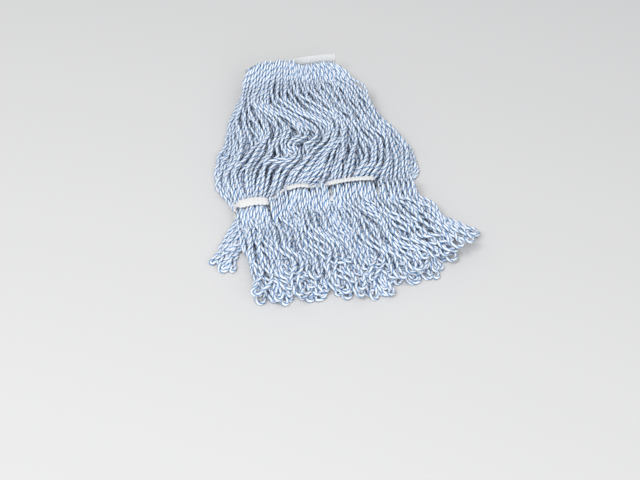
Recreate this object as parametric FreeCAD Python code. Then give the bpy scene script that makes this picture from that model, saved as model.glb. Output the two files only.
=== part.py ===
import FreeCAD, Part
import math
import os

# A looped-end string mop head, folded in two at its headband and laid down flat.
# The headband is at +Y, the looped fringe at -Y, and everything rests on z = 0.
# The yarn is grouped in bundles: each solid is the outer shape of some strands side by side.

# Driving dimensions, millimetres.
curtain_run = 273.0  # yarn from the back of the fold to the tail band
tail_band_width = 16.0  # tail tape, measured along the yarn
fringe_run = 159.2  # tail band to the longest loops
fringe_spread = 370.0  # tip of the left lock to tip of the right lock

headband_span = 140.0  # length of the headband tape across the yarn
headband_centre = -15.0  # the headband sits left of the middle of the spread fringe
headband_width = 32.0  # whole tape, half of it on each side of the fold
tape_thick = 1.2  # doubled woven tape

fold_height = 22.5  # height of the fold line, with half of the yarn under it
fold_rounding = 18.0  # depth over which the back of the fold is rounded
sewn_yarn = 14.0  # thickness of the yarn where the headband squeezes it
fold_bluntness = 3.0  # what the headband flattens off that rounding

lower_wide_left = 167.0  # widest reach of each layer from the middle
lower_wide_right = 129.0
upper_wide_left = 152.0
upper_wide_right = 113.0
widest_share = 0.83  # how far along the curtain it is widest

upper_band_left = 134.0  # reach of the tail tapes, which gather the yarn
upper_band_right = 54.0
lower_band_left = 140.0
lower_band_right = 110.0
loose_right = 112.0  # upper yarn that runs past the end of its tail tape

lower_curtain_top = 17.4  # height of each layer just before the tail band
upper_curtain_top = 38.0
crown_top = 44.5  # highest point of the folded head
lower_pinch_top = 14.6  # yarn squeezed between the tail tapes
upper_pinch_top = 33.0
fringe_tip_thick = 9.5  # one layer of loops at its end

loop_line_straight = 30.0  # each side of the middle
loop_line_left = 14.0  # how far the loops are drawn back at the two tips
loop_line_right = 80.0
lower_tip_left = -149.0  # sides of the fringe at its longest loops
lower_tip_right = 128.0
upper_tip_left = -146.0
upper_tip_right = 166.0

lock_root_width = 6.0  # the two side locks of the lower fringe, where they are sewn
lock_tip_width = 34.0
lock_thick = 13.0
left_lock_run = 84.0
right_lock_run = 78.0

curtain_bundles = 7
lower_fringe_bundles = 6

# Named clearances and thread sizes.
seat_gap = 0.2  # yarn to the tape that is sewn on it
layer_gap = 0.6  # lower layer to upper layer
side_gap = 0.5  # bundle to bundle
root_gap = 0.9  # tail band to the root of a swinging lock
spine_gap = 0.3  # headband to the fold axis
underside_trim = 1.0  # depth cut off the underside of the yarn that lies on the floor
stitch_long = 3.6
stitch_pitch = 5.0
stitch_wide = 0.8
stitch_proud = 0.6
tack_wide = 2.4

# Places that follow from them.
head_length = tape_thick + stitch_proud + curtain_run + tail_band_width + fringe_run
thread_y = head_length / 2  # outermost face, on the stitches behind the fold
tape_y = thread_y - stitch_proud
back_y = tape_y - tape_thick
band_y = back_y - curtain_run
fringe_y = band_y - tail_band_width
front_y = fringe_y - fringe_run
headband_left = headband_centre - headband_span / 2
headband_right = headband_centre + headband_span / 2
half_band = headband_width / 2
fold_seat = spine_gap + tape_thick + seat_gap  # yarn face to the fold plane
inner_tape_end = sewn_yarn + half_band + 2.0  # depth at which the two layers may close up
lock_half_room = lock_root_width / 2 + side_gap
left_lock_x = -lower_band_left + lock_half_room
right_lock_x = lower_band_right - lock_half_room


def export(name, shape):
    """Write one node and print its size."""
    shape.exportStep(os.path.join("parts", name + ".step"))
    box = shape.BoundBox
    print(f"{name:32s} {len(shape.Solids):3d} solids {shape.Volume / 1000:9.2f} cm3  "
          f"z {box.ZMin:6.2f} to {box.ZMax:6.2f}")


def mix(first, second, share):
    return first + (second - first) * share


def along(points, place):
    """Height at a place, read from a short list of (place, height)."""
    for (place_a, height_a), (place_b, height_b) in zip(points, points[1:]):
        if place <= place_b:
            return mix(height_a, height_b, (place - place_a) / (place_b - place_a))
    return points[-1][1]


def box(x_low, x_high, y_low, y_high, z_low, z_high):
    corner = FreeCAD.Vector(x_low, y_low, z_low)
    return Part.makeBox(x_high - x_low, y_high - y_low, z_high - z_low, corner)


# Outline of a layer, seen from above.

def curtain_edge(share, head, wide, tail):
    """Reach of one edge of a curtain: it swells to its widest, then draws in to the tail band."""
    if share <= widest_share:
        return mix(head, wide, math.sin(math.pi / 2 * share / widest_share))
    drawn = (share - widest_share) / (1 - widest_share)
    return mix(wide, tail, drawn * drawn)


def curtain_width(share, layer):
    """Left and right edge of a curtain at a share of its run."""
    if layer == "lower":
        left = curtain_edge(share, headband_left, -lower_wide_left, -lower_band_left)
        right = curtain_edge(share, headband_right, lower_wide_right, lower_band_right)
    else:
        left = curtain_edge(share, headband_left, -upper_wide_left, -upper_band_left)
        right = curtain_edge(share, headband_right, upper_wide_right, loose_right)
    return left, right


def loop_line(x):
    """The edge that the looped ends make: straight in the middle, drawn back towards the sides."""
    reach = max(0.0, abs(x) - loop_line_straight) / (fringe_spread / 2 - loop_line_straight)
    drawn_back = loop_line_right if x > 0 else loop_line_left
    return front_y + drawn_back * reach ** 1.5


# Height of a layer, from the back of the fold to the tail band.

def fold_curve(depth):
    """How far the outer surface has turned in from flat, at a depth from the back of the fold."""
    turn = 1 - (depth + fold_bluntness) / fold_rounding
    if turn <= 0:
        return 0.0
    return 1 - math.sqrt(1 - turn * turn)


def lower_heights(depth):
    top = along([(0, fold_height - fold_seat), (inner_tape_end, fold_height - fold_seat),
                 (curtain_run - tail_band_width, lower_curtain_top), (curtain_run, lower_pinch_top)], depth)
    return fold_height * fold_curve(depth), top


def upper_heights(depth):
    bottom = along([(0, fold_height + fold_seat), (inner_tape_end, fold_height + fold_seat),
                    (inner_tape_end + half_band, fold_height - fold_seat + layer_gap),
                    (curtain_run - tail_band_width, lower_curtain_top + layer_gap),
                    (curtain_run, upper_pinch_bottom)], depth)
    top = along([(0, crown_top), (curtain_run / 4, crown_top - 2.0),
                 (curtain_run - tail_band_width, upper_curtain_top), (curtain_run, upper_pinch_top)], depth)
    return bottom, top - fold_height * fold_curve(depth)


# Heights where the tail tapes hold the yarn.
back_tape_z = 0.5  # the lower tail tape stays off the floor, so that the yarn carries the weight
lower_pinch_bottom = back_tape_z + tape_thick + seat_gap
lower_face_z = lower_pinch_top + seat_gap
upper_back_z = lower_face_z + tape_thick + stitch_proud + layer_gap
upper_pinch_bottom = upper_back_z + tape_thick + seat_gap
upper_face_z = upper_pinch_top + seat_gap


# Yarn bundles.

def section(x_low, x_high, y, z_low, z_high):
    """Cross-section of a bundle: flat below and above, with its four corners cut."""
    cut = min((x_high - x_low) * 0.3, (z_high - z_low) * 0.3)
    foot = cut * 0.4
    outline = [(x_low + foot, z_low), (x_high - foot, z_low), (x_high, z_low + foot), (x_high, z_high - cut),
               (x_high - cut, z_high), (x_low + cut, z_high), (x_low, z_high - cut), (x_low, z_low + foot)]
    points = [FreeCAD.Vector(x, y, z) for x, z in outline]
    return Part.makePolygon(points + points[:1])


def loft(sections):
    return Part.makeLoft(sections, True, True)


def laid_flat(shape):
    """Trim a bundle that was lofted a little too deep, so that its underside is a true plane on the floor."""
    return shape.common(box(-head_length, head_length, -head_length, head_length, 0.0, head_length)).Solids[0]


def curtain_bundle(layer, index):
    """One bundle of a curtain, from the headband through the tail tapes."""
    depths = [fold_rounding * share for share in (0.0, 0.2, 0.45, 0.75, 1.0)]
    depths += [inner_tape_end, inner_tape_end + half_band]
    depths += [curtain_run * share for share in (0.3, 0.45, 0.6, 0.74, 0.86)] + [curtain_run - tail_band_width / 2]
    heights = lower_heights if layer == "lower" else upper_heights
    sink = underside_trim if layer == "lower" else 0.0
    sections = []
    for depth in depths:
        left, right = curtain_width(depth / curtain_run, layer)
        low = mix(left, right, index / curtain_bundles) + side_gap / 2
        high = mix(left, right, (index + 1) / curtain_bundles) - side_gap / 2
        z_low, z_high = heights(depth)
        sections.append(section(low, high, back_y - depth, z_low - sink, z_high))
    low, high = tail_slot(layer, index)
    if layer == "lower":
        pinch = (lower_pinch_bottom, lower_pinch_top)
    else:
        pinch = (upper_pinch_bottom, upper_pinch_top)
    for y in (band_y + seat_gap, fringe_y):
        sections.append(section(low, high, y, *pinch))
    return laid_flat(loft(sections)) if layer == "lower" else loft(sections)


def tail_slot(layer, index):
    """Left and right side of a bundle inside the tail band."""
    if layer == "lower":
        left, right, count = -lower_band_left, lower_band_right, curtain_bundles
    elif index < curtain_bundles - 1:
        left, right, count = -upper_band_left, upper_band_right, curtain_bundles - 1
    else:
        return upper_band_right + side_gap * 2, loose_right
    low = mix(left, right, index / count) + side_gap / 2
    high = mix(left, right, (index + 1) / count) - side_gap / 2
    return low, high


def fringe_bundle(roots, tips, heights):
    """One bundle of loops: roots and tips are its left and right sides, heights its two ends."""
    end_y = loop_line(sum(tips) / 2)
    sections = []
    for share in (0.0, 0.12, 0.35, 0.6, 0.82, 0.94, 1.0):
        y = mix(fringe_y - root_gap / 2, end_y, share)
        spread = (fringe_y - y) / fringe_run
        low = mix(roots[0], tips[0], spread)
        high = mix(roots[1], tips[1], spread)
        z_low, z_high = heights(spread)
        sections.append(section(low, high, y, z_low, mix(z_high, z_low, 0.35 if share == 1.0 else 0.0)))
    return loft(sections)


def lower_fringe_heights(spread):
    return -underside_trim, mix(lower_pinch_top, fringe_tip_thick, spread)


def upper_fringe_heights(spread):
    bottom = lower_fringe_heights(spread)[1] + layer_gap * 2
    return mix(upper_pinch_bottom, bottom, min(1.0, spread * 3)), bottom + mix(
        upper_pinch_top - lower_pinch_top - layer_gap * 2, fringe_tip_thick, spread)


def spaced(left, right, count, index):
    return (mix(left, right, index / count) + side_gap / 2,
            mix(left, right, (index + 1) / count) - side_gap / 2)


def lower_fringe(index):
    roots = spaced(left_lock_x + lock_half_room, right_lock_x - lock_half_room, lower_fringe_bundles, index)
    tips = spaced(lower_tip_left, lower_tip_right, lower_fringe_bundles, index)
    return laid_flat(fringe_bundle(roots, tips, lower_fringe_heights))


def upper_fringe(index):
    roots = tail_slot("upper", index)
    tips = spaced(upper_tip_left, upper_tip_right, curtain_bundles, index)
    return fringe_bundle(roots, tips, upper_fringe_heights)


def side_lock(root_x, tip_x, run, side):
    """A separate lock of loops: its inner side stays clear of the fringe, its tip is the widest reach."""
    sections = []
    for share in (0.0, 0.15, 0.4, 0.7, 0.92, 1.0):
        width = mix(lock_root_width, lock_tip_width, min(1.0, share * 1.25))
        middle = mix(root_x, tip_x - side * lock_tip_width / 2, share)
        y = fringe_y - root_gap - run * share
        top = mix(lock_thick, fringe_tip_thick, share) * (0.6 if share == 1.0 else 1.0)
        sections.append(section(middle - width / 2, middle + width / 2, y, -underside_trim, top))
    return laid_flat(loft(sections))


# Tapes and their stitches.

def stitch_row(left, right):
    """Start of each stitch in a row across a tape."""
    count = int((right - left - stitch_long) / stitch_pitch)
    first = (left + right - count * stitch_pitch - stitch_long) / 2
    return [first + stitch_pitch * number for number in range(count + 1)]


def headband_stitches(side):
    """Two rows through one half of the headband, with threads lying on its outer face."""
    rows = [fold_height + side * half_band * share for share in (0.32, 0.78)]
    left, right = headband_left + tack_wide * 2, headband_right - tack_wide * 2
    return Part.makeCompound([box(x, x + stitch_long, tape_y, thread_y, z - stitch_wide / 2, z + stitch_wide / 2)
                              for z in rows for x in stitch_row(left, right)])


def headband_tacks(side):
    """A dense bar of thread at each end of the headband, which locks its rows."""
    inner = fold_height + side * (spine_gap + stitch_wide)
    outer = fold_height + side * (half_band - stitch_wide)
    low, high = min(inner, outer), max(inner, outer)
    return Part.makeCompound([box(x, x + tack_wide, tape_y, thread_y, low, high)
                              for x in (headband_left + stitch_wide, headband_right - stitch_wide - tack_wide)])


def outer_tape(side):
    inner = fold_height + side * spine_gap
    outer = fold_height + side * half_band
    return box(headband_left, headband_right, back_y + seat_gap / 2, tape_y, min(inner, outer), max(inner, outer))


def inner_tape(side):
    near = fold_height + side * spine_gap
    far = fold_height + side * (spine_gap + tape_thick)
    back = back_y - sewn_yarn
    return box(headband_left, headband_right, back - half_band, back, min(near, far), max(near, far))


def tail_tape(left, right, z_low):
    return box(left, right, fringe_y + seat_gap, band_y - seat_gap, z_low, z_low + tape_thick)


def tail_stitches(left, right, z_low):
    """Two rows of stitches lying on the face of a tail tape."""
    rows = [mix(fringe_y, band_y, share) for share in (0.28, 0.72)]
    return Part.makeCompound([box(x, x + stitch_long, y - stitch_wide / 2, y + stitch_wide / 2, z_low,
                                  z_low + stitch_proud) for y in rows for x in stitch_row(left, right)])


def build_headband():
    for side, half in ((-1, "lower"), (1, "upper")):
        export("headband_outer_tape_" + half, outer_tape(side))
        export("headband_inner_tape_" + half, inner_tape(side))
        export("headband_stitches_" + half, headband_stitches(side))
        export("headband_bar_tacks_" + half, headband_tacks(side))


def build_tail_bands():
    export("lower_tail_tape_back", tail_tape(-lower_band_left, lower_band_right, back_tape_z))
    export("lower_tail_tape_face", tail_tape(-lower_band_left, lower_band_right, lower_face_z))
    export("lower_tail_stitches", tail_stitches(-lower_band_left, lower_band_right, lower_face_z + tape_thick))
    export("upper_tail_tape_back", tail_tape(-upper_band_left, upper_band_right, upper_back_z))
    export("upper_tail_tape_face", tail_tape(-upper_band_left, upper_band_right, upper_face_z))
    export("upper_tail_stitches", tail_stitches(-upper_band_left, upper_band_right, upper_face_z + tape_thick))


def build_yarn():
    for index in range(curtain_bundles):
        export(f"lower_curtain_yarn_{index + 1}", curtain_bundle("lower", index))
        export(f"upper_curtain_yarn_{index + 1}", curtain_bundle("upper", index))
        export(f"upper_fringe_loops_{index + 1}", upper_fringe(index))
    for index in range(lower_fringe_bundles):
        export(f"lower_fringe_loops_{index + 1}", lower_fringe(index))
    export("left_lock_loops", side_lock(left_lock_x, -fringe_spread / 2, left_lock_run, -1))
    export("right_lock_loops", side_lock(right_lock_x, fringe_spread / 2, right_lock_run, 1))


os.makedirs("parts", exist_ok=True)
build_headband()
build_tail_bands()
build_yarn()
print(f"fold axis      y {thread_y + spine_gap:.2f} z {fold_height:.2f}")
print(f"fringe axis    y {fringe_y:.2f} z {upper_face_z + tape_thick + stitch_proud:.2f}")
print(f"left lock axis x {left_lock_x:.2f} y {fringe_y - root_gap:.2f}")
print(f"right lock axis x {right_lock_x:.2f} y {fringe_y - root_gap:.2f}")
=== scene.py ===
import math

import bpy
import numpy as np
from mathutils import Matrix, Vector


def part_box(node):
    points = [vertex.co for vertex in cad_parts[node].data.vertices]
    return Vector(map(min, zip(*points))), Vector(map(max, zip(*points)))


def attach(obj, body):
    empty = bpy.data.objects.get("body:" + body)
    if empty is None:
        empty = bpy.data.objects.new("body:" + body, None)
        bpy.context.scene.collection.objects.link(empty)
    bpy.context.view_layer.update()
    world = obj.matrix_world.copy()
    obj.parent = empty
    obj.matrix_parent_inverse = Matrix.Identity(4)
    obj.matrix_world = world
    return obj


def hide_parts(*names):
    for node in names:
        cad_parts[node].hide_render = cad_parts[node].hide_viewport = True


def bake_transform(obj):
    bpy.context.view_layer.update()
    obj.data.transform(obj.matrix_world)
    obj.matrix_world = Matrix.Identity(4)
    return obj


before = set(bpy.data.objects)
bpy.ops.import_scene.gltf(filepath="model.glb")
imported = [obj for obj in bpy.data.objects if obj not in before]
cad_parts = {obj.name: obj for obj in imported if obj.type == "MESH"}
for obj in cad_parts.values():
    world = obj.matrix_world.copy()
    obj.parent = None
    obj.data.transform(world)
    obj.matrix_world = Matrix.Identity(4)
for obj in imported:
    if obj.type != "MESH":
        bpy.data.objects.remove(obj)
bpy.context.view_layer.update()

print("frame loaded")

mm = 0.001
up = np.array([0.0, 0.0, 1.0])


def boxOf(node):  # lowest and highest corner of a CAD node
    low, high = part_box(node)
    return np.array(low), np.array(high)


def mix(first, second, share):
    return first + (second - first) * share


def ease(value):  # 0 to 1 with soft ends
    value = np.clip(value, 0.0, 1.0)
    return value * value * (3 - 2 * value)


# places read from the frame

headbandLow, headbandHigh = boxOf("headband_outer_tape_lower")
headbandTop = boxOf("headband_outer_tape_upper")[1][2]
foldHeight = (headbandHigh[2] + boxOf("headband_outer_tape_upper")[0][2]) / 2
tapeFace = headbandHigh[1]
yarnBack = headbandLow[1]
upperTailLow, upperTailHigh = boxOf("upper_tail_tape_face")
lowerTailLow, lowerTailHigh = boxOf("lower_tail_tape_face")
upperTailBack = boxOf("upper_tail_tape_back")
lowerTailBack = boxOf("lower_tail_tape_back")
tailMiddle = (upperTailLow[1] + upperTailHigh[1]) / 2
lowerWide = (boxOf("lower_curtain_yarn_1")[0][0], boxOf("lower_curtain_yarn_7")[1][0])
upperWide = (boxOf("upper_curtain_yarn_1")[0][0], boxOf("upper_curtain_yarn_7")[1][0])
lowerTips = (boxOf("lower_fringe_loops_1")[0][0], boxOf("lower_fringe_loops_6")[1][0])
loopFront = boxOf("lower_fringe_loops_3")[0][1]
loopSides = (boxOf("lower_fringe_loops_1")[0][1], boxOf("lower_fringe_loops_6")[0][1])
leftLock, rightLock = boxOf("left_lock_loops"), boxOf("right_lock_loops")

# the yarn: one length that runs to and fro, sewn at the headband and the two tail bands

yarn = {
    "strands": 134,  # times that it crosses the headband
    "thick": 5.0 * mm,
    "lay": 22.0 * mm,  # one full turn of the four plies
    # angle and height of each peak and groove round the yarn: thick white plies and thin blue ones
    "profile": [(0, 1.0), (59, 0.66), (90, 0.87), (121, 0.66),
                (180, 1.0), (239, 0.66), (270, 0.87), (301, 0.66)],
    "ringGap": 2.3 * mm,  # between rings of the finished tube
    "foldRingGap": 0.7 * mm,
    "pointGap": 5.0 * mm,  # between points while it settles
    "squeezed": 0.82,  # share of its thickness under a tape
    "mapLength": 150.0 * mm,  # yarn that one length of its map covers
    # size, pace and phase of the waves in its twist and in its thickness
    "twistWaves": [(0.5, 41.0, 0.0), (0.35, 97.0, 1.0)],
    "thickWaves": [(0.035, 173.0, 0.0), (0.025, 331.0, 2.0)],
    "fullness": 1.04,
    "seed": 23,
}

head = {
    "foldInner": 3.0 * mm,  # half height of the innermost and outermost turn over the fold
    "foldOuter": 20.0 * mm,
    "innerReach": 2.0 * mm,  # how far each of them reaches back from the crease
    "outerReach": 11.5 * mm,
    # height of the outermost turn above the crease, along the headband: a tall lobe, a notch, a low lobe
    "lobes": [(-0.085, 0.0145), (-0.074, 0.0205), (-0.058, 0.0245), (-0.045, 0.0245), (-0.018, 0.0245),
              (-0.007, 0.019), (0.001, 0.011), (0.010, 0.0135), (0.030, 0.0150), (0.045, 0.0135),
              (0.055, 0.010)],
    "lobeLean": 5.0 * mm,  # how far the tall lobe leans back over the tape
    "edgeInset": 3.0 * mm,  # from the end of a tape to its outermost strand
    "leftInset": 9.0 * mm,  # from the left side of the CAD yarn to the strands
    "widest": 0.83,  # share of the way to the tail band
    "lowerStack": 22.0 * mm,  # height that a layer starts with, before it settles
    "upperStack": 29.0 * mm,
    "upperBase": (20.0 * mm, 27.0 * mm),  # height of its lowest strands, at the tail band and at the crease
    "dome": (0.72, 0.28),  # share of that stack at the sides, and what the middle adds
    "clumpPlaces": (0.18, 0.46, 0.74),  # shares of the run where neighbouring strands are drawn together
    "clumpSpread": 0.12,
    "clumpDraw": 2.4 * mm,
    "clumpDepth": 5.0 * mm,
    "drifts": [(0.13, 4.5 * mm), (0.06, 1.8 * mm)],  # pitch and size of the drifts that all strands share
    "waves": [(0.120, 3.6 * mm), (0.046, 1.5 * mm)],  # pitch and size of each strand's own waves
    # sideways swings of the loose strands: rank, spread of ranks, share of the run, spread, distance
    "swings": [
        (0.37, 0.17, 0.53, 0.14, 0.060),
        (0.97, 0.16, 0.15, 0.10, 0.014),
        (0.10, 0.09, 0.52, 0.12, 0.016),
        (0.12, 0.10, 0.80, 0.10, -0.008),
        (0.30, 0.14, 0.24, 0.10, -0.012),
        (0.80, 0.16, 0.70, 0.16, 0.010),
        (0.66, 0.10, 0.86, 0.08, -0.012),
    ],
    "eddy": (-0.046, 0.034, 0.015, 1.9),  # a curl in the top strands: x, y, radius, turn in radians
}

gathers = {  # where the upper tail tape bunches the yarn: left, right, y, top
    "bunches": [
        (-0.134, -0.094, -0.069, 0.0350),
        (-0.066, -0.034, -0.050, 0.0360),
        (-0.008, 0.054, -0.050, 0.0365),
    ],
    "depth": 17.0 * mm,
    "crown": 5.0 * mm,
    "cover": 3.2 * mm,  # from the tape down to the topmost strands
    "splay": 7.0 * mm,  # how much wider a bunch is at its foot
    "dip": 5.0 * mm,  # how far down and back the tape is drawn in the gaps
    "missed": 0.085,  # share of a bunch, at each side, that lies outside the stitches
    "missedDrop": 6.0 * mm,  # how far those strands lie below the top, and over what depth
    "missedDepth": 8.0 * mm,
    # places across the head, and how far the tape tips back there or the share of its width that it keeps
    "slopes": ((-0.10, -0.06, 0.0, 0.054), (-0.05, -0.36, -0.38, -0.32)),
    "narrowing": ((-0.10, -0.06, 0.0, 0.054), (1.0, 0.74, 0.80, 0.68)),
}

fringe = {
    # rank of an upper strand, and where its loops end
    "aims": [(0, 0.286, 0.571, 0.857, 1), (-0.119, -0.050, 0.040, 0.132, 0.163)],
    "shortOfLine": 4.0 * mm,
    "loopWidth": (7.0 * mm, 14.0 * mm),
    # where the upper loops part below a bunch: x, y, radius, push
    "parting": (-0.002, -0.086, 0.010, 0.005),
    "shortest": 0.70,
    "wave": 0.42,  # radians of swing in the heading of a loop
    "bends": (1.5, 2.6),  # swings in one loop
    "slack": 1.05,  # length of a loop, as a share of the way to its aim
    "wobble": 1.6 * mm,
    "bob": 1.5 * mm,
    "curl": 0.85,
    "lowerStack": 20.0 * mm,
    "upperStack": 24.0 * mm,
    "lockStack": 7.5 * mm,
    # how far in from the box of a side lock its loops end: nearest and furthest
    "leftLock": (3 * mm, 21 * mm),
    "rightLock": (33 * mm, 5 * mm),
}

settling = {
    "steps": 76,
    "quickSteps": 40,
    "fall": 0.30 * mm,  # in one step, and the share of it that is left in the last ones
    "lateFall": 0.4,
    "lateFrom": 0.7,
    "touch": 4.6 * mm,
    "margin": 1.6 * mm,  # strands this much further apart are watched too
    "renew": 4,  # steps between two looks for near strands
    "grip": 0.6,  # share of a push that goes sideways
    "stiff": 0.5,
    "pull": 0.8,  # share of a wrong length that one step mends
    "straight": 0.84,  # least distance between every other point, as a share of the yarn between them
    "unbend": 0.25,
    "smooth": 0.35,
    "foldZone": 19.0 * mm,  # near the crease the inner tape keeps the two layers this far from the fold line
    "foldGap": 3.2 * mm,
    "floorGap": 1.08,  # height of the lowest strands, in yarn radii
}

random = np.random.default_rng(yarn["seed"])
strandCount = yarn["strands"]


def makeClumps(smallest, largest):  # for each strand, the number of its clump and its place in it, -1 to 1
    number, place, clump = [], [], 0
    while len(number) < strandCount:
        size = int(random.integers(smallest, largest + 1))
        number += [clump] * size
        place += list((np.arange(size) + 0.5) / size * 2 - 1)
        clump += 1
    return np.array(number[:strandCount]), np.array(place[:strandCount])


clumpSets = [makeClumps(3, 7), makeClumps(4, 8), makeClumps(3, 6)]
loopSets = {"upper": makeClumps(3, 6), "lower": makeClumps(3, 6)}  # loops that curl together
rank = (np.arange(strandCount) + 0.5) / strandCount  # place across the head
outer = (np.arange(strandCount) * 0.6180339887 + 0.3) % 1.0  # 0 inside the fold, 1 outside it
creaseY = yarnBack - head["outerReach"] - yarn["thick"] / 2
bandRun = creaseY - tailMiddle
lockStrands = (13, strandCount - 13)  # lower loops before and after these lie apart as the side locks


def headSides(half, share):  # left and right side of a layer, from the headband (0) to the tail band (1)
    wide = lowerWide if half == "lower" else upperWide
    tail = (lowerTailLow[0], lowerTailHigh[0]) if half == "lower" else (upperTailLow[0], wide[1])
    start = (headbandLow[0] + head["edgeInset"], headbandHigh[0] - head["edgeInset"])
    reach = (wide[0] + head["leftInset"], wide[1])
    drawn = np.clip((share - head["widest"]) / (1 - head["widest"]), 0, 1)
    sides = []
    for side in range(2):
        swell = mix(start[side], reach[side], np.sin(math.pi / 2 * np.minimum(share / head["widest"], 1.0)))
        sides.append(mix(swell, tail[side], drawn ** 2))
    return sides


def softNoise(places, length, count, generator):  # smooth sideways drift, from a few long waves
    total = np.zeros(len(places))
    for _ in range(count):
        angle = generator.uniform(0, 2 * math.pi)
        pitch = length * generator.uniform(0.7, 1.5)
        phase = generator.uniform(0, 2 * math.pi)
        along = places[:, 0] * math.cos(angle) + places[:, 1] * math.sin(angle)
        total += np.sin(along * 2 * math.pi / pitch + phase)
    return total / math.sqrt(count)


def pushed(points, share, half, strand):  # the swings, drifts and the curl of a loose strand
    hold = np.sin(math.pi * np.clip(share, 0, 1)) ** 0.6
    moved = points.copy()
    loose = 0.35 + 0.65 * outer[strand] if half == "upper" else 0.25
    for centre, spread, place, length, sideways in head["swings"]:
        weight = math.exp(-0.5 * ((rank[strand] - centre) / spread) ** 2) * loose
        moved[:, 0] += sideways * weight * np.exp(-0.5 * ((share - place) / length) ** 2)
    generator = np.random.default_rng(yarn["seed"] + (1 if half == "upper" else 2))
    calm = np.minimum(1.0, np.minimum(rank[strand], 1 - rank[strand]) * 9 + 0.25)
    for pitch, size in head["drifts"]:
        moved[:, 0] += softNoise(points, pitch, 5, generator) * size * hold * calm
    if half == "upper":
        x, y, radius, turn = head["eddy"]
        away = moved[:, :2] - (x, y)
        angle = turn * ease((outer[strand] - 0.3) / 0.4) * np.exp(-0.5 * (away ** 2).sum(1) / radius ** 2)
        moved[:, 0] = x + away[:, 0] * np.cos(angle) - away[:, 1] * np.sin(angle)
        moved[:, 1] = y + away[:, 0] * np.sin(angle) + away[:, 1] * np.cos(angle)
    return moved


def tailPlace(half, strand):  # where a strand passes between the tail tapes
    across, out = rank[strand], outer[strand]
    if half == "lower":
        x = mix(lowerTailLow[0] + head["edgeInset"], lowerTailHigh[0] - head["edgeInset"], across)
        low, high = lowerTailBack[1][2], lowerTailLow[2]
        return np.array([x, tailMiddle, mix(high, low, out)])
    bunches, missed, crown = gathers["bunches"], gathers["missed"], gathers["crown"]
    seat = across * 7 / 2
    number, inBunch = int(seat), seat - int(seat)
    if number < len(bunches):
        left, right, y, top = bunches[number]
        drop = gathers["missedDrop"] + (1 - out) * gathers["missedDepth"]
        if number > 0 and inBunch < missed:  # a strand that the tape has missed, in the gap beside the bunch
            before, shift = bunches[number - 1], mix(0.5, 0.95, inBunch / missed)
            return np.array([mix(before[1], left, shift), mix(before[2], y, shift), top - drop])
        if number < 2 and inBunch > 1 - missed:
            after, shift = bunches[number + 1], mix(0.05, 0.5, (inBunch - 1 + missed) / missed)
            return np.array([mix(right, after[0], shift), mix(y, after[2], shift), top - drop])
        z = top - crown * (2 * inBunch - 1) ** 2 - gathers["cover"] - (1 - out) * gathers["depth"]
        splay = 2 * mm - (1 - out) * gathers["splay"]
        return np.array([mix(left + splay, right - splay, inBunch), y, z])
    loose = (across - 6 / 7) * 7  # the last strands run past the end of the tape
    low, high = upperTailBack[1][2], upperTailLow[2] - 4 * mm
    x = mix(upperTailHigh[0] + 6 * mm, upperWide[1] - 2 * mm, loose)
    return np.array([x, tailMiddle, mix(low, high, out)])


def foldTurn(strand):  # the pinned turn round the fold, from under it to over it
    across, out = rank[strand], outer[strand]
    x = mix(headbandLow[0] + head["edgeInset"], headbandHigh[0] - head["edgeInset"], across)
    reach = mix(head["innerReach"], head["outerReach"], out)
    height = mix(head["foldInner"], head["foldOuter"], out)
    lobe = np.interp(x, *zip(*head["lobes"]))
    turns = np.linspace(-math.pi / 2, math.pi / 2, 9 + int(out * 6))
    above = mix(head["foldInner"], lobe, out)
    heights = np.where(turns > 0, above, height)
    lean = head["lobeLean"] * ease((lobe - 0.017) / 0.007) * out * ease((np.sin(turns) - 0.45) / 0.55)
    return np.stack([np.full(len(turns), x), creaseY + reach * np.cos(turns) + lean,
                     foldHeight + heights * np.sin(turns)], 1)


def strandRun(half, strand, generator):  # from the crease to the tail band
    across, out = rank[strand], outer[strand]
    count = int(bandRun * 1.04 / yarn["pointGap"])
    share = np.linspace(0, 1, count + 1)[1:]
    left, right = headSides(half, share)
    x = mix(left, right, np.full(count, across))
    y = creaseY - share * bandRun
    sink = np.zeros(count)
    for place, (_, inClump) in zip(head["clumpPlaces"], clumpSets):  # drawn together, with a groove between
        bump = np.exp(-0.5 * ((share - place) / head["clumpSpread"]) ** 2)
        x = x - bump * inClump[strand] * head["clumpDraw"]
        sink += bump * inClump[strand] ** 2 * head["clumpDepth"]
    start = foldTurn(strand)[-1 if half == "upper" else 0]
    if half == "upper":
        dome = head["dome"][0] + head["dome"][1] * np.sin(math.pi * across) ** 0.7
        z = mix(*head["upperBase"], 1 - share) + out * head["upperStack"] * dome - sink
    else:
        z = yarn["thick"] / 2 + (1 - out) * head["lowerStack"] * mix(1.0, 0.8, share) + sink * 0.4
    points = np.stack([x, y, mix(start[2], z, ease(share * 5))], 1)
    points = pushed(points, share, half, strand)
    hold = np.sin(math.pi * share) ** 0.5
    for length, size in head["waves"]:
        phase, pitch = generator.uniform(0, 2 * math.pi), length * generator.uniform(0.75, 1.35)
        turn = share * bandRun * 2 * math.pi / pitch
        points[:, 0] += size * np.sin(turn + phase) * hold
        points[:, 2] += 0.5 * size * np.sin(turn + phase * 1.7) * hold
    end = tailPlace(half, strand)
    inward = ease((share - 0.80) / 0.18)[:, None]
    target = end + np.outer((1 - share) * bandRun, [0, 1, 0])
    return mix(points, target, inward)


def loopLine(x):  # the line that the longest loops make
    low, side = (loopSides[1], lowerTips[1]) if x > 0 else (loopSides[0], -lowerTips[0])
    level = 30 * mm  # at each side of the middle
    return mix(loopFront, low, max(0.0, (abs(x) - level) / (side - level)) ** 1.5)


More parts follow.
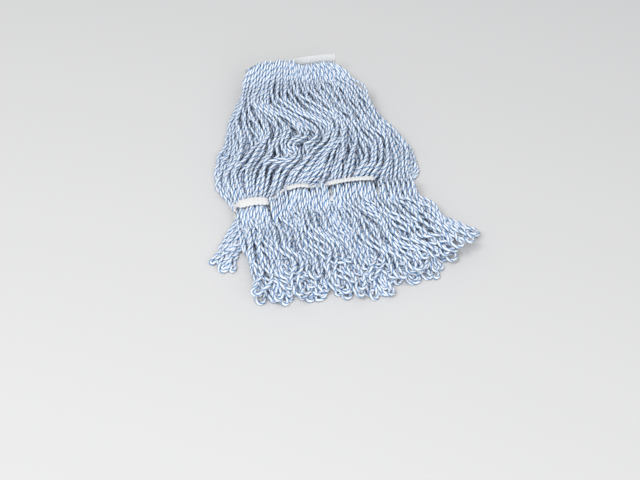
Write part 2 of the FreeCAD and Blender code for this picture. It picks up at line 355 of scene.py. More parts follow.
def loopAim(half, strand, generator, together):  # where a loop ends, and how far along that way it stops
    across = (rank[strand] + rank[strand + 1]) / 2 + together.normal(0, 0.018)
    shortest = mix(0.9, fringe["shortest"], ease((across - 0.04) / 0.12))
    reach = 1.02 - (1 - shortest) * (0.5 * together.beta(1.1, 2.2) + 0.5 * generator.beta(1.1, 2.2))
    if half == "upper":
        across = np.clip(across + generator.normal(0, 0.014), 0.01, 0.99)
        x = np.interp(across, fringe["aims"][0], fringe["aims"][1])
        return np.array([x, loopLine(x) + fringe["shortOfLine"]]), reach
    spot, lockReach = generator.random(), mix(0.84, 1.0, generator.random())
    if strand < lockStrands[0]:
        (low, _), (near, far) = leftLock, fringe["leftLock"]
        return np.array([mix(low[0] + near, low[0] + far, spot), low[1] + fringe["shortOfLine"]]), lockReach
    if strand >= lockStrands[1]:
        (low, high), (near, far) = rightLock, fringe["rightLock"]
        return np.array([mix(high[0] - near, high[0] - far, spot), low[1] + fringe["shortOfLine"]]), lockReach
    between = (strand - lockStrands[0]) / (lockStrands[1] - lockStrands[0])
    x = mix(lowerTips[0] + 22 * mm, lowerTips[1], np.clip(between + generator.normal(0, 0.014), 0.0, 0.98))
    return np.array([x, loopLine(x)]), reach


def loopPath(half, strand, generator):  # out from one strand's tail, round, and back to the next one's
    first, second = tailPlace(half, strand), tailPlace(half, strand + 1)
    together = np.random.default_rng(yarn["seed"] * 77 + loopSets[half][0][strand] * 2 + (half == "upper"))
    aim, reach = loopAim(half, strand, generator, together)
    root = (first + second)[:2] / 2
    way = aim - root
    length = np.linalg.norm(way) * reach
    width = generator.uniform(*fringe["loopWidth"])
    isLock = half == "lower" and (strand < lockStrands[0] or strand >= lockStrands[1])
    width *= 0.75 if isLock else 1.0
    fromEdge = min(strand - (0 if half == "upper" else lockStrands[0]), strandCount - strand)
    calm = 0.25 if isLock else min(1.0, 0.35 + max(fromEdge, 0) / 16)
    count = max(8, int(length * 1.06 / yarn["pointGap"]))
    share = np.linspace(0, 1, count)
    heading = math.atan2(way[1], way[0])
    bends = together.uniform(*fringe["bends"]) + generator.uniform(-0.2, 0.2)
    phase = together.uniform(0, 2 * math.pi) + generator.normal(0, 0.5)
    turn = fringe["wave"] * calm * np.sin(share * bends * 2 * math.pi + phase) * ease(share * 3)
    curl = together.normal(0, 0.5) + generator.normal(0, 0.65)
    turn += curl * fringe["curl"] * calm * ease((share - 0.62) / 0.38)
    straight = mix(-math.pi / 2, heading, ease(share * 4))
    step = length * fringe["slack"] / (count - 1)
    middle = root + np.cumsum(np.stack([np.cos(straight + turn), np.sin(straight + turn)], 1), 0) * step
    side = np.stack([-np.sin(straight + turn), np.cos(straight + turn)], 1)
    gap = first[:2] - second[:2]
    spread = ease(share * 3.0)[:, None]
    sign = 1.0 if gap @ side[0] >= 0 else -1.0
    offset = mix(gap[None, :] / 2, sign * side * width / 2, spread)
    wobble = np.sin(share * generator.uniform(2, 4) * 2 * math.pi + generator.uniform(0, 6))[:, None]
    wobble = wobble * fringe["wobble"] * spread
    out = middle + offset + side * wobble
    back = middle - offset + side * wobble * generator.uniform(-1, 1)
    turns = np.linspace(0, math.pi, 7)[1:-1]
    ahead = np.array([math.cos(straight[-1] + turn[-1]), math.sin(straight[-1] + turn[-1])])
    cap = np.outer(np.cos(turns), sign * side[-1] * width / 2) + np.outer(np.sin(turns), ahead * width / 2)
    flat = np.concatenate([out, middle[-1] + cap, back[::-1]])
    place = np.linspace(0, 1, len(flat))
    toRoot = ease(np.minimum(place, 1 - place) * 9)
    if half == "upper":
        x, y, radius, parted = fringe["parting"]
        away = flat - (x, y)
        far = np.maximum(np.linalg.norm(away, axis=1), 1e-6)
        flat = flat + away * (parted * np.exp(-(far / radius) ** 2) / far)[:, None]
    level = generator.random()
    base = yarn["thick"] / 2 if half == "lower" else mix(lowerTailHigh[2], 13 * mm, 0.5) + 4 * mm
    stack = fringe["lockStack"] if isLock else fringe[half + "Stack"]
    rise = base + level * stack + fringe["bob"] * np.sin(place * generator.uniform(9, 17) + phase)
    rootZ = mix(first[2], second[2], place)
    return np.concatenate([flat, mix(rootZ, rise, toRoot)[:, None]], 1)


def layYarn():  # the whole length as one line of points, with what each stretch is
    parts = []
    for strand in range(strandCount):
        generator = np.random.default_rng(yarn["seed"] * 1000 + strand)
        under = strandRun("lower", strand, generator)[::-1]
        over = strandRun("upper", strand, generator)
        turn = foldTurn(strand)
        pieces = [("lowerRun", under), ("fold", turn), ("upperRun", over)]
        if strand % 2:
            pieces = [(kind, points[::-1]) for kind, points in pieces[::-1]]
        parts += [(kind, strand, points) for kind, points in pieces]
        half = "lower" if strand % 2 else "upper"
        if strand < strandCount - 1:
            parts.append((half + "Loop", strand, loopPath(half, strand, generator)))
    return parts


kindNames = ["lowerRun", "fold", "upperRun", "lowerLoop", "upperLoop"]
yarnParts = layYarn()
kinds = np.concatenate([np.full(len(points), kindNames.index(kind)) for kind, _, points in yarnParts])
line = np.concatenate([points for _, _, points in yarnParts])
starts = np.cumsum([0] + [len(points) for _, _, points in yarnParts])
print("yarn laid,", len(line), "points")

# settling: the pile sinks under its weight, strands stop on each other and keep their length


def heldPoints():  # the turns over the fold, and the points between the tail tapes
    between = np.zeros(len(line), bool)
    for number, (kind, strand, _) in enumerate(yarnParts):
        if kind.endswith("Run"):
            runsOut = (kind == "lowerRun") != bool(strand % 2)  # it starts at its tail band
            between[starts[number] if runsOut else starts[number + 1] - 1] = True
    anchors = np.flatnonzero(between)
    for shift in (-1, 1):
        near = np.clip(anchors + shift, 0, len(line) - 1)
        close = np.linalg.norm(line[near] - line[anchors], axis=1) < 9 * mm
        between[near[close]] = True
    return between | (kinds == kindNames.index("fold"))


held = heldPoints()


def nearPairs(points, reach):  # every two points that are nearer than that, but not neighbours on the yarn
    cell = np.floor((points - points.min(0)) / reach).astype(np.int64) + 1
    span = cell.max(0) + 2
    key = (cell[:, 0] * span[1] + cell[:, 1]) * span[2] + cell[:, 2]
    order = np.argsort(key, kind="stable")
    ordered = key[order]
    firsts, seconds = [], []
    for stepX, stepY in ((0, 0), (0, 1), (1, -1), (1, 0), (1, 1)):
        target = ordered + (stepX * span[1] + stepY) * span[2]
        low = np.searchsorted(ordered, target - 1, "left")
        high = np.searchsorted(ordered, target + 1, "right")
        if stepX == 0 and stepY == 0:
            low = np.maximum(low, np.arange(len(ordered)) + 1)
            high = np.maximum(high, low)
        count = high - low
        first = np.repeat(np.arange(len(ordered)), count)
        offset = np.repeat(low - np.concatenate([[0], np.cumsum(count)[:-1]]), count)
        firsts.append(first)
        seconds.append(np.arange(count.sum()) + offset)
    first, second = order[np.concatenate(firsts)], order[np.concatenate(seconds)]
    far = np.abs(first - second) > 2
    first, second = first[far], second[far]
    close = ((points[first] - points[second]) ** 2).sum(1) < reach * reach
    return first[close], second[close]


def pushApart(points, first, second, looseness, squeeze):  # strands that overlap move off each other
    gap = points[first] - points[second]
    distance = np.maximum(np.sqrt((gap ** 2).sum(1)), 1e-6)
    touch = settling["touch"] * (squeeze[first] + squeeze[second]) / 2
    push = gap * (settling["stiff"] * np.maximum(touch - distance, 0) / distance)[:, None]
    push[:, :2] *= settling["grip"]
    both = looseness[first] + looseness[second]
    shareFirst = np.divide(looseness[first], both, out=np.zeros(len(both)), where=both > 0)
    shareSecond = np.divide(looseness[second], both, out=np.zeros(len(both)), where=both > 0)
    for axis in range(3):
        points[:, axis] += np.bincount(first, push[:, axis] * shareFirst, len(points))
        points[:, axis] -= np.bincount(second, push[:, axis] * shareSecond, len(points))


def keepLength(points, pair, rest, looseness):
    gap = points[pair + 1] - points[pair]
    distance = np.maximum(np.sqrt((gap ** 2).sum(1)), 1e-6)
    both = np.maximum(looseness[pair] + looseness[pair + 1], 1e-9)
    pull = gap * (settling["pull"] * (distance - rest[pair]) / distance / both)[:, None]
    points[pair] += pull * looseness[pair][:, None]
    points[pair + 1] -= pull * looseness[pair + 1][:, None]


def limitBend(points, rest, looseness):
    gap = points[2:] - points[:-2]
    distance = np.maximum(np.sqrt((gap ** 2).sum(1)), 1e-6)
    least = settling["straight"] * (rest[1:] + rest[:-1])
    spread = gap * (settling["unbend"] * np.maximum(least - distance, 0) / distance)[:, None]
    points[2:] += spread * looseness[2:, None]
    points[:-2] -= spread * looseness[:-2, None]


def settle(points, steps):
    points = points.copy()
    free = ~held
    rest = np.linalg.norm(np.diff(points, axis=0), axis=1)
    looseness = np.where(free, 1.0, 0.0)
    squeeze = np.where(free, 1.0, yarn["squeezed"])
    evens, odds = np.arange(0, len(points) - 1, 2), np.arange(1, len(points) - 1, 2)
    nearFold = points[:, 1] > creaseY - settling["foldZone"]
    floor = yarn["thick"] / 2 * settling["floorGap"]
    isUpper, isLower = kinds == kindNames.index("upperRun"), kinds == kindNames.index("lowerRun")
    lowest = np.where(nearFold & isUpper, foldHeight + settling["foldGap"], floor)
    highest = np.where(nearFold & isLower, foldHeight - settling["foldGap"], 1.0)
    for step in range(steps):
        late = step >= steps * settling["lateFrom"]
        points[free, 2] -= settling["fall"] * (settling["lateFall"] if late else 1.0)
        if step % settling["renew"] == 0:
            first, second = nearPairs(points, settling["touch"] + settling["margin"])
        pushApart(points, first, second, looseness, squeeze)
        for pair in (evens, odds):
            keepLength(points, pair, rest, looseness)
        limitBend(points, rest, looseness)
        points[:, 2] = np.where(free, np.clip(points[:, 2], lowest, highest), points[:, 2])
    smooth = points.copy()
    share = settling["smooth"] * looseness[1:-1, None]
    smooth[1:-1] = mix(points[1:-1], (points[:-2] + points[2:]) / 2, share)
    return smooth


line = settle(line, settling["steps"])
print("yarn settled, highest point", round(float(line[:, 2].max()) * 1000, 1), "mm")

# the finished tube: four plies twisted together, laid along the settled line


def throughPoints(points, gaps):  # finer points on a smooth line through the given ones
    before = np.concatenate([points[:1] * 2 - points[1:2], points])[:-1]
    after = np.concatenate([points, points[-1:] * 2 - points[-2:-1]])[1:]
    nextAfter = np.concatenate([after[1:], after[-1:]])
    reach = np.linalg.norm(after - points, axis=1)
    counts = np.maximum(1, np.round(reach / gaps)).astype(int)
    counts[-1] = 1
    index = np.repeat(np.arange(len(points)), counts)
    begin = np.concatenate([[0], np.cumsum(counts)[:-1]])
    share = ((np.arange(counts.sum()) - begin[index]) / counts[index])[:, None]
    last, here, there, beyond = before[index], points[index], after[index], nextAfter[index]
    finer = 0.5 * (2 * here + (there - last) * share + (2 * last - 5 * here + 4 * there - beyond) * share ** 2
                   + (3 * here - last - 3 * there + beyond) * share ** 3)
    return finer, begin, index, share[:, 0]


def carriedFrames(points):  # two directions across the line at each point, which turn as little as they can
    ahead = np.gradient(points, axis=0)
    ahead /= np.maximum(np.linalg.norm(ahead, axis=1), 1e-12)[:, None]
    side = np.cross(ahead[0], up)
    side /= np.linalg.norm(side)
    sx, sy, sz = side
    sides = np.empty_like(points)
    for number, (ax, ay, az) in enumerate(ahead.tolist()):
        dot = sx * ax + sy * ay + sz * az
        sx, sy, sz = sx - dot * ax, sy - dot * ay, sz - dot * az
        size = math.sqrt(sx * sx + sy * sy + sz * sz)
        sx, sy, sz = sx / size, sy / size, sz / size
        sides[number] = (sx, sy, sz)
    return sides, np.cross(ahead, sides)


gaps = np.where(kinds == kindNames.index("fold"), yarn["foldRingGap"], yarn["ringGap"])
rings, ringStart, ringPoint, ringShare = throughPoints(line, gaps)
sideways, upright = carriedFrames(rings)
runLength = np.concatenate([[0], np.cumsum(np.linalg.norm(np.diff(rings, axis=0), axis=1))])
tight = np.where(held, yarn["squeezed"], 1.0)
for _ in range(3):
    tight[1:-1] = (tight[:-2] + tight[1:-1] * 2 + tight[2:]) / 4
nextTight = np.concatenate([tight[1:], tight[-1:]])
ringTight = mix(tight[ringPoint], nextTight[ringPoint], ringShare)
print("yarn length", round(float(runLength[-1]), 1), "m in", len(rings), "rings")


def tubeFaces(count, spokes):  # four-sided faces between one ring of points and the next
    ring = np.arange(count - 1)[:, None] * spokes
    spoke = np.arange(spokes)[None, :]
    after = (spoke + 1) % spokes
    corners = [ring + spoke, ring + after, ring + spokes + after, ring + spokes + spoke]
    return np.stack(corners, 2).reshape(-1, 4)


def withWaves(value, run, waves):
    for size, pace, phase in waves:
        value = value + size * np.sin(run * pace + phase)
    return value


def plyTube(first, last):  # vertices, faces, ply of each face, and map, for one stretch of rings
    profile = np.array(yarn["profile"])
    spokes, count = len(profile), last - first
    run = runLength[first:last]
    turn = withWaves(run * (2 * math.pi / yarn["lay"]), run, yarn["twistWaves"])
    angles = turn[:, None] + np.radians(profile[:, 0])[None, :]
    uneven = withWaves(yarn["fullness"], run, yarn["thickWaves"])
    radius = yarn["thick"] / 2 * (uneven * ringTight[first:last])[:, None] * profile[None, :, 1]
    flat = (np.cos(angles) * radius)[:, :, None] * sideways[first:last, None, :]
    tall = (np.sin(angles) * radius)[:, :, None] * upright[first:last, None, :]
    points = (rings[first:last, None, :] + flat + tall).reshape(-1, 3)
    ply = np.tile((np.arange(spokes) + 1) % spokes // 2, count - 1)
    around = np.arange(spokes)[None, :] / spokes
    along = run[:, None] / yarn["mapLength"]
    along = along - np.floor(along[0])
    corners = ((around, along[:-1]), (around + 1 / spokes, along[:-1]),
               (around + 1 / spokes, along[1:]), (around, along[1:]))
    coords = np.stack([np.stack(np.broadcast_arrays(*corner), 2) for corner in corners], 2).reshape(-1, 2)
    return points, tubeFaces(count, spokes), ply, coords


def meshFrom(name, points, faces, materials, faceMaterial, maps):
    mesh = bpy.data.meshes.new(name)
    mesh.vertices.add(len(points))
    mesh.vertices.foreach_set("co", np.asarray(points, np.float32).ravel())
    mesh.loops.add(faces.size)
    mesh.loops.foreach_set("vertex_index", faces.astype(np.int32).ravel())
    mesh.polygons.add(len(faces))
    mesh.polygons.foreach_set("loop_start", np.arange(0, faces.size, faces.shape[1], dtype=np.int32))
    mesh.update(calc_edges=True)
    for material in materials:
        mesh.materials.append(material)
    if faceMaterial is not None:
        mesh.polygons.foreach_set("material_index", faceMaterial.astype(np.int32))
    mesh.polygons.foreach_set("use_smooth", np.ones(len(faces), bool))
    for mapName, coords in maps:
        layer = mesh.uv_layers.new(name=mapName)
        layer.uv.foreach_set("vector", coords.astype(np.float32).ravel())
    mesh.validate()
    piece = bpy.data.objects.new(name, mesh)
    bpy.context.scene.collection.objects.link(piece)
    return piece


# materials


def newMaterial(name):
    material = bpy.data.materials.new(name)
    material.use_nodes = True
    return material, material.node_tree.nodes, material.node_tree.links


def groupSocket(group, name, value=None, inward=True):
    way = "INPUT" if inward else "OUTPUT"
    socket = group.interface.new_socket(name=name, in_out=way, socket_type="NodeSocketFloat")
    if value is not None:
        socket.default_value = value


def mathNode(nodes, links, operation, first, second=None):
    node = nodes.new("ShaderNodeMath")
    node.operation = operation
    for number, value in enumerate((first, second)):
        if value is None:
            continue
        if isinstance(value, (int, float)):
            node.inputs[number].default_value = value
        else:
            links.new(value, node.inputs[number])
    return node.outputs[0]


def mapAxes(nodes, links, name):  # the two axes of a map, as sockets
    uvMap = nodes.new("ShaderNodeUVMap")
    uvMap.uv_map = name
    apart = nodes.new("ShaderNodeSeparateXYZ")
    links.new(uvMap.outputs["UV"], apart.inputs[0])
    return apart.outputs["X"], apart.outputs["Y"]


def tintBetween(nodes, links, mask, deep, pale):  # base colour between two tints
    tint = nodes.new("ShaderNodeMix")
    tint.data_type = "RGBA"
    tint.inputs["A"].default_value = (*deep, 1)
    tint.inputs["B"].default_value = (*pale, 1)
    links.new(mask, tint.inputs["Factor"])
    links.new(tint.outputs["Result"], nodes["Principled BSDF"].inputs["Base Color"])


def bumpFrom(nodes, links, height, strength, distance):
    bump = nodes.new("ShaderNodeBump")
    bump.inputs["Strength"].default_value = strength
    bump.inputs["Distance"].default_value = distance
    links.new(height, bump.inputs["Height"])
    links.new(bump.outputs["Normal"], nodes["Principled BSDF"].inputs["Normal"])


def fibreGroup():  # fine fibres lying along a ply, which repeat with the yarn's own map
    group = bpy.data.node_groups.new("fibreStreaks", "ShaderNodeTree")
    groupSocket(group, "Fineness", 9.0)
    groupSocket(group, "Length", 14.0)
    groupSocket(group, "Streaks", inward=False)
    groupSocket(group, "Height", inward=False)
    nodes, links = group.nodes, group.links
    given, result = nodes.new("NodeGroupInput"), nodes.new("NodeGroupOutput")
    across, along = mapAxes(nodes, links, "YarnRun")
    joined = nodes.new("ShaderNodeCombineXYZ")
    noise = nodes.new("ShaderNodeTexNoise")
    noise.noise_dimensions = "4D"
    noise.inputs["Scale"].default_value = 1.0
    noise.inputs["Detail"].default_value = 3.0
    noise.inputs["Roughness"].default_value = 0.65
    links.new(joined.outputs[0], noise.inputs["Vector"])
    # both axes go round in circles, so that the pattern meets itself where the map repeats
    for axis, size, targets in ((across, "Fineness", (joined.inputs["X"], joined.inputs["Y"])),
                                (along, "Length", (joined.inputs["Z"], noise.inputs["W"]))):
        turn = mathNode(nodes, links, "MULTIPLY", axis, 2 * math.pi)
        for operation, target in zip(("COSINE", "SINE"), targets):
            wave = mathNode(nodes, links, operation, turn)
            links.new(mathNode(nodes, links, "MULTIPLY", wave, given.outputs[size]), target)
    ramp = nodes.new("ShaderNodeMapRange")
    ramp.inputs["From Min"].default_value = 0.28
    ramp.inputs["From Max"].default_value = 0.72
    links.new(noise.outputs["Fac"], ramp.inputs["Value"])
    links.new(ramp.outputs["Result"], result.inputs["Streaks"])
    links.new(noise.outputs["Fac"], result.inputs["Height"])
    return group


def plyMaterial(name, pale, deep, roughness):
    material, nodes, links = newMaterial(name)
    shader = nodes["Principled BSDF"]
    fibres = nodes.new("ShaderNodeGroup")
    fibres.node_tree = fibreStreaks
    tintBetween(nodes, links, fibres.outputs["Streaks"], deep, pale)
    rough = nodes.new("ShaderNodeMapRange")
    rough.inputs["To Min"].default_value = roughness - 0.10
    rough.inputs["To Max"].default_value = roughness + 0.08
    links.new(fibres.outputs["Streaks"], rough.inputs["Value"])
    links.new(rough.outputs["Result"], shader.inputs["Roughness"])
    bumpFrom(nodes, links, fibres.outputs["Height"], 0.55, 0.6 * mm)
    shader.inputs["Sheen Weight"].default_value = 0.25
    shader.inputs["Sheen Roughness"].default_value = 0.45
    shader.inputs["Specular IOR Level"].default_value = 0.35
    return material


def weaveGroup():  # over-and-under threads of a plain woven tape; their height also masks the painted shade in the hollows between threads
    group = bpy.data.node_groups.new("plainWeave", "ShaderNodeTree")
    groupSocket(group, "Threads", 1.0)
    groupSocket(group, "Mask", inward=False)
    groupSocket(group, "Height", inward=False)
    nodes, links = group.nodes, group.links
    given, result = nodes.new("NodeGroupInput"), nodes.new("NodeGroupOutput")

    def maths(operation, first, second=None):
        return mathNode(nodes, links, operation, first, second)

    threads = [maths("MULTIPLY", axis, given.outputs["Threads"]) for axis in mapAxes(nodes, links, "TapeRun")]
    waves = []
    for fine, cross, over in ((threads[0], threads[1], 0.5), (threads[1], threads[0], -0.5)):
        ridge = maths("ABSOLUTE", maths("SINE", maths("MULTIPLY", fine, math.pi)))
        turn = maths("MULTIPLY", maths("ADD", cross, maths("FLOOR", fine)), math.pi)
        height = maths("ADD", maths("MULTIPLY", maths("SINE", turn), over), 0.6)
        waves.append(maths("MULTIPLY", ridge, height))
    top = maths("MAXIMUM", *waves)
    links.new(top, result.inputs["Height"])
    links.new(top, result.inputs["Mask"])
    return group


def tapeMaterial(name, pale, deep):
    material, nodes, links = newMaterial(name)
    shader = nodes["Principled BSDF"]
    weave = nodes.new("ShaderNodeGroup")
    weave.node_tree = plainWeave
    weave.inputs["Threads"].default_value = 1.0
    noise = nodes.new("ShaderNodeTexNoise")
    noise.inputs["Scale"].default_value = 60.0
    noise.inputs["Detail"].default_value = 4.0
    coords = nodes.new("ShaderNodeTexCoord")
    links.new(coords.outputs["Object"], noise.inputs["Vector"])
    blotch = mathNode(nodes, links, "MULTIPLY", noise.outputs["Fac"], 0.5)
    # painted shade: the cloth is darker in the hollows between its woven threads, taken from the weave's
    # height; the blotches are its own uneven tone
    threads = mathNode(nodes, links, "MULTIPLY", weave.outputs["Mask"], 0.7)
    tintBetween(nodes, links, mathNode(nodes, links, "ADD", threads, blotch), deep, pale)
    bumpFrom(nodes, links, weave.outputs["Height"], 0.6, 0.4 * mm)
    shader.inputs["Roughness"].default_value = 0.85
    shader.inputs["Sheen Weight"].default_value = 0.15
    return material


def threadMaterial():
    material, nodes, links = newMaterial("sewingThread")
    shader = nodes["Principled BSDF"]
    wave = nodes.new("ShaderNodeTexWave")
    wave.bands_direction = "DIAGONAL"
    wave.inputs["Scale"].default_value = 900.0
    wave.inputs["Distortion"].default_value = 1.5
    coords = nodes.new("ShaderNodeTexCoord")
    links.new(coords.outputs["Object"], wave.inputs["Vector"])
    # painted shade: the thread is darker in the grooves of its twist, where the same waves lower its bump
    tintBetween(nodes, links, wave.outputs["Fac"], (0.72, 0.71, 0.69), (0.90, 0.89, 0.87))
    bumpFrom(nodes, links, wave.outputs["Fac"], 0.4, 0.2 * mm)
    shader.inputs["Roughness"].default_value = 0.5
    return material


fibreStreaks = fibreGroup()
plainWeave = weaveGroup()
# the white plies are a slightly bluish white of their own, and part of their blue tint is painted bounce
# light from the blue plies beside them
whitePly = plyMaterial("whitePly", (0.90, 0.93, 0.97), (0.72, 0.785, 0.88), 0.74)
bluePly = plyMaterial("bluePly", (0.21, 0.40, 0.66), (0.09, 0.22, 0.45), 0.70)
tapeCloth = tapeMaterial("tapeCloth", (0.80, 0.80, 0.79), (0.60, 0.60, 0.595))
sewingThread = threadMaterial()
print("materials made")

# yarn pieces

plyColours = np.array([0, 1, 0, 1])  # white, blue, white, blue


def ringRange(number):  # rings of one stretch, to where the next begins; a fold turn ends at its last point
    begin = starts[number] - (number > 0 and yarnParts[number - 1][0] == "fold")
    end = starts[number + 1] - (yarnParts[number][0] == "fold")
    last = ringStart[end] if end < len(line) else len(rings) - 1
    return ringStart[begin], last + 1


def yarnPiece(name, numbers):
    points, faces, plies, coords, total = [], [], [], [], 0
    for number in numbers:
        tubePoints, tubeFaces, tubePly, tubeCoords = plyTube(*ringRange(number))
        points.append(tubePoints)
        faces.append(tubeFaces + total)
        plies.append(tubePly)
        coords.append(tubeCoords)
        total += len(tubePoints)
    coords = np.concatenate(coords)
    piece = meshFrom(name, np.concatenate(points), np.concatenate(faces), [whitePly, bluePly],
                     plyColours[np.concatenate(plies)], [("OFBake", coords), ("YarnRun", coords)])
    return piece


def stretches(kind, low, high):  # numbers of the stretches of one kind, over some strands
    return [number for number, (found, strand, _) in enumerate(yarnParts)
            if found == kind and low <= strand < high]


# for each layer of turns over the fold, from the innermost to the outermost, a distance below and one above
# the fold line; these are not used, only the number of layers is
foldZones = [(2.7 * mm, 2.7 * mm), (6.5 * mm, 4.2 * mm), (10.0 * mm, 5.8 * mm), (14.0 * mm, 7.4 * mm)]
foldNames = [f"fold_yarn_{layer + 1}" for layer in range(len(foldZones))]


def makeYarn():
    bundles = 7
    edges = [round(strandCount * share / bundles) for share in range(bundles + 1)]
    for bundle in range(bundles):
        low, high = edges[bundle], edges[bundle + 1]
        under = yarnPiece(f"lower_yarn_{bundle + 1}", stretches("lowerRun", low, high))
        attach(under, "lower_half")
        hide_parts(f"lower_curtain_yarn_{bundle + 1}")
        over = yarnPiece(f"upper_yarn_{bundle + 1}", stretches("upperRun", low, high))
        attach(over, "upper_half")
        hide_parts(f"upper_curtain_yarn_{bundle + 1}")
        loops = yarnPiece(f"upper_loops_{bundle + 1}", stretches("upperLoop", low, high))
        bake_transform(loops)
        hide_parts(f"upper_fringe_loops_{bundle + 1}")
    for layer, (under, over) in enumerate(foldZones):
        inLayer = [number for number in stretches("fold", 0, strandCount)
                   if int(outer[yarnParts[number][1]] * len(foldZones)) == layer]
        turn = yarnPiece(foldNames[layer], inLayer)
        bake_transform(turn)
    bundles = 6
    edges = [round(mix(*lockStrands, share / bundles)) for share in range(bundles + 1)]
    for bundle in range(bundles):
        low, high = edges[bundle], edges[bundle + 1]
        loops = yarnPiece(f"lower_loops_{bundle + 1}", stretches("lowerLoop", low, high))
        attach(loops, "lower_half")
        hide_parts(f"lower_fringe_loops_{bundle + 1}")
    for side, low, high in (("left", 0, lockStrands[0]), ("right", lockStrands[1], strandCount)):
        lock = yarnPiece(f"{side}_lock_yarn", stretches("lowerLoop", low, high))
        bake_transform(lock)
        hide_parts(f"{side}_lock_loops")


makeYarn()
print("yarn pieces made")

# tapes and their stitches


cloth = {
    "rib": 0.10 * mm,
    "selvage": 0.22 * mm,  # how much thicker the woven edges are, where, and how wide
    "selvagePlace": 0.94,
    "selvageSpread": 0.05,
    "dent": 0.34 * mm,  # depth and width of the dent along a row of stitches
    "dentSpread": 0.07,
    "pitch": 5.0 * mm,  # of its stitches
    "threads": 0.9 * mm,  # between threads of the weave
}


def ribbon(name, centre, along, wide, thick, ribs, rows=()):  # a woven tape on a grid of points
    lengthwise, columns = centre.shape[:2]
    normal = np.cross(np.gradient(centre, axis=1), np.gradient(centre, axis=0))
    normal /= np.maximum(np.linalg.norm(normal, axis=2), 1e-12)[:, :, None]
    rib = cloth["rib"] * np.abs(np.sin(along[:, None] / ribs * math.pi))
    place = np.linspace(-1, 1, columns)[None, :]
    fromSelvage = (np.abs(place) - cloth["selvagePlace"]) / cloth["selvageSpread"]
    selvage = cloth["selvage"] * np.exp(-fromSelvage ** 2)
    dent = sum((np.exp(-((place - row) / cloth["dentSpread"]) ** 2) for row in rows), 0 * place)
    dent = cloth["dent"] * dent * (0.65 - 0.35 * np.cos(along[:, None] / cloth["pitch"] * 2 * math.pi))
    top = centre + normal * (thick / 2 + rib + selvage - dent)[:, :, None]
    bottom = centre - normal * (thick / 2)
    points = np.concatenate([top.reshape(-1, 3), bottom.reshape(-1, 3)])
    index = np.arange(lengthwise * columns).reshape(lengthwise, columns)
    corners = [index[:-1, :-1], index[1:, :-1], index[1:, 1:], index[:-1, 1:]]
    topFaces = np.stack(corners, 2).reshape(-1, 4)
    under = np.stack([corners[number] for number in (0, 3, 2, 1)], 2).reshape(-1, 4) + lengthwise * columns
    rim = np.concatenate([index[0, :], index[1:, -1], index[-1, -2::-1], index[-2:0:-1, 0]])
    rimNext = np.roll(rim, -1)
    edge = np.stack([rim, rimNext, rimNext + lengthwise * columns, rim + lengthwise * columns], 1)
    faces = np.concatenate([topFaces, under, edge])
    across = np.linspace(0, wide, columns)
    grid = np.stack(np.broadcast_arrays(along[:, None], across[None, :]), 2).reshape(-1, 2) / cloth["threads"]
    coords = np.concatenate([grid, grid])[faces.ravel()]
    piece = meshFrom(name, points, faces, [tapeCloth], None, [("TapeRun", coords)])
    return piece, normal


def threadStitch(start, end, out, thick):  # one stitch, which rises out of the cloth and dips back
    spokes, count = 7, 9
    share = np.linspace(0, 1, count)
    rise = thick * (0.50 * np.sin(share * math.pi) ** 0.5 - 0.20)
    spine = mix(start[None, :], end[None, :], share[:, None]) + out[None, :] * rise[:, None]
    ahead = (end - start) / np.linalg.norm(end - start)
    side = np.cross(ahead, out)
    size = thick / 2 * (0.35 + 0.65 * np.sin(share * math.pi) ** 0.4)
    angles = np.arange(spokes) * (2 * math.pi / spokes)
    circle = np.cos(angles)[None, :, None] * side + np.sin(angles)[None, :, None] * out
    points = (spine[:, None, :] + circle * size[:, None, None]).reshape(-1, 3)
    points = np.concatenate([points, spine[:1], spine[-1:]])
    lastRing, tip = (count - 1) * spokes, count * spokes
    around = [(spoke, (spoke + 1) % spokes) for spoke in range(spokes)]
    caps = [[tip, after, spoke] for spoke, after in around]
    caps += [[tip + 1, lastRing + spoke, lastRing + after] for spoke, after in around]
    return points, tubeFaces(count, spokes), caps


def stitching(name, stitches, thick):
    points, faces, caps, total = [], [], [], 0
    for start, end, out in stitches:
        found, quads, ends = threadStitch(start, end, out, thick)
        points.append(found)
        faces += (quads + total).tolist()
        caps += [[corner + total for corner in cap] for cap in ends]
        total += len(found)
    mesh = bpy.data.meshes.new(name)
    mesh.from_pydata(np.concatenate(points).tolist(), [], faces + caps)
    mesh.materials.append(sewingThread)
    mesh.polygons.foreach_set("use_smooth", [True] * len(mesh.polygons))
    piece = bpy.data.objects.new(name, mesh)
    bpy.context.scene.collection.objects.link(piece)
    return piece


def pointOn(centre, normal, row, column, lift):  # a point on a tape's face, between its grid points
    firstRow, firstColumn = int(min(row, centre.shape[0] - 1.001)), int(min(column, centre.shape[1] - 1.001))
    corners = centre[firstRow:firstRow + 2, firstColumn:firstColumn + 2]
    sides = mix(corners[0], corners[1], row - firstRow)
    out = normal[firstRow, firstColumn]
    return mix(sides[0], sides[1], column - firstColumn) + out * lift, out


def stitchRows(centre, normal, along, columns, long, pitch, lift):  # ends and outward way of each stitch
    stitches = []
    margin = 4 * mm  # at each end of the tape
    count = int((along[-1] - 2 * margin) / pitch)
    for column in columns:
        for number in range(count):
            begin = margin + number * pitch
            rows = np.interp([begin, begin + long], along, np.arange(len(along)))
            (start, out), (end, _) = (pointOn(centre, normal, row, column, lift) for row in rows)
            stitches.append((start, end, out))
    return stitches


